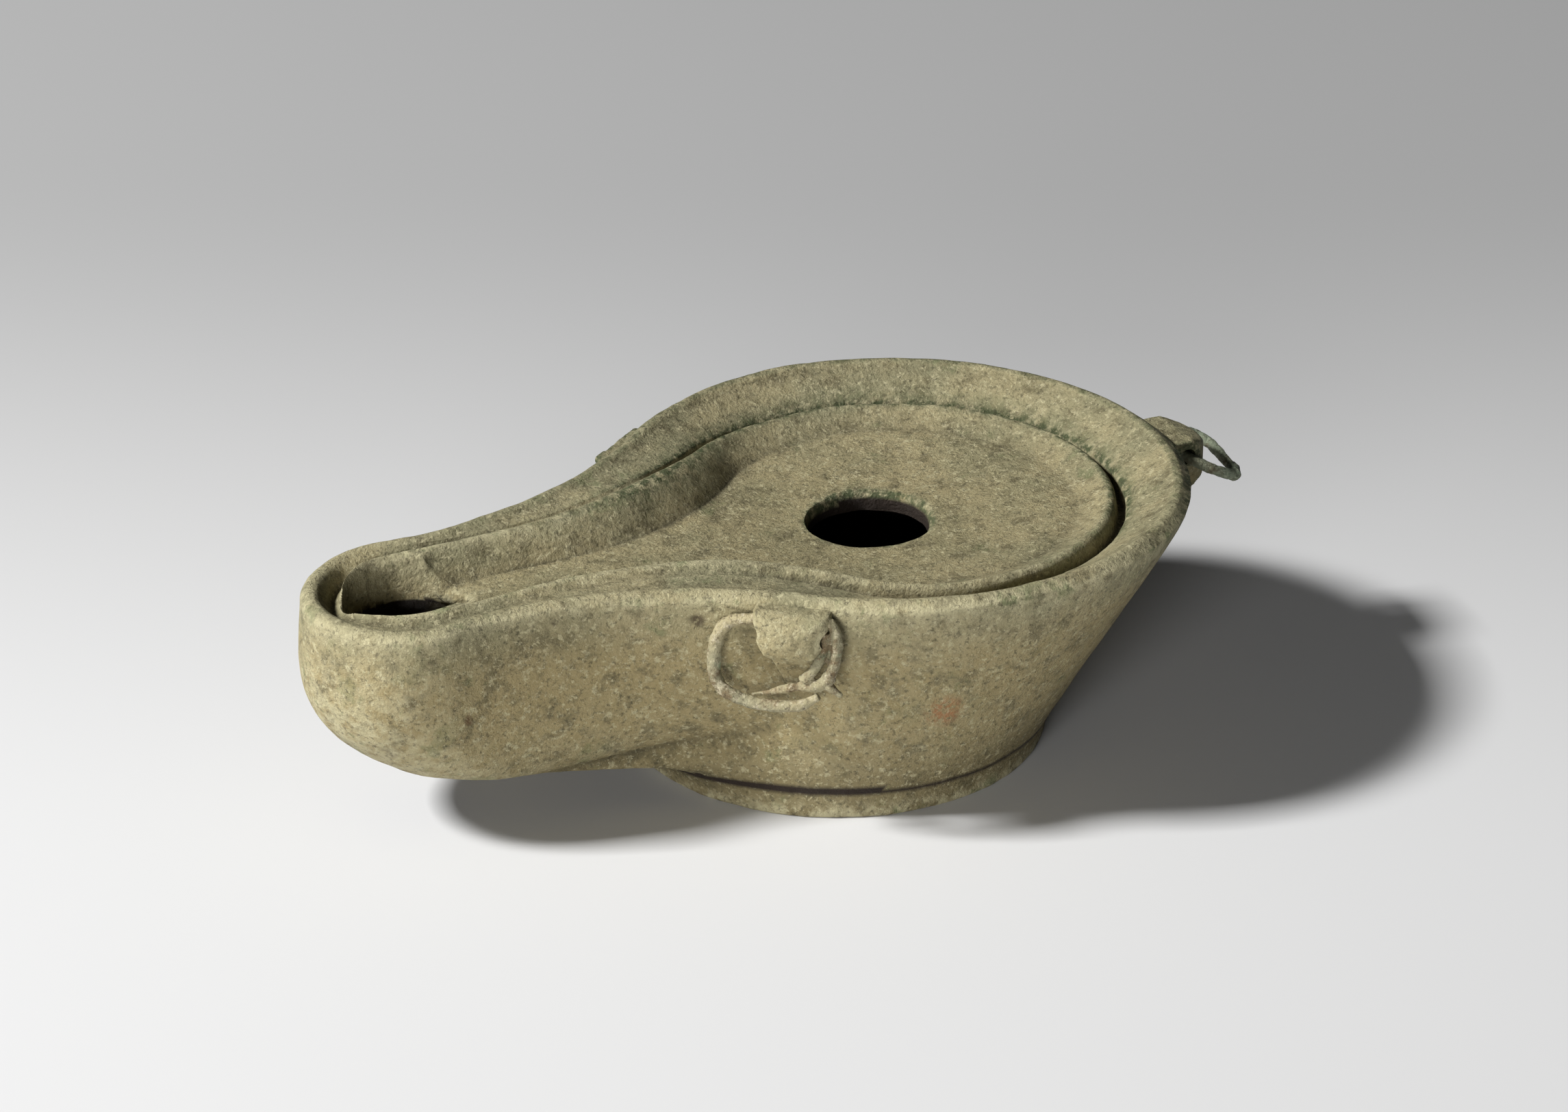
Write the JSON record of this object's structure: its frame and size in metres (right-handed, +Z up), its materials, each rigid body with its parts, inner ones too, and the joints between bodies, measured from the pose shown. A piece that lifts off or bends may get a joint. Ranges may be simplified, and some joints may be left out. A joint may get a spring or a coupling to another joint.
{
  "type": "roman oil lamp",
  "caption": "Cast bronze oil lamp: round closed bowl with a fill hole, a straight nozzle with a wick hole, a low foot, and chain lugs with wire rings.",
  "frame": {"origin": "centre of the round foot's underside, on the table plane", "axes": "+Z up from the foot; -X towards the nozzle's tip, +X towards the rear lug; +Y away from the side that keeps its side ring"},
  "size_m": [0.1461, 0.084, 0.0375],
  "materials": {
    "bronze_patina": "rough",
    "side_ring_wire": "rough",
    "rear_ring_wire": "rough"
  },
  "bodies": {
    "root": {"lamp_body": "bronze_patina", "side_ring": "side_ring_wire", "rear_ring": "rear_ring_wire"}
  },
  "joints": []
}
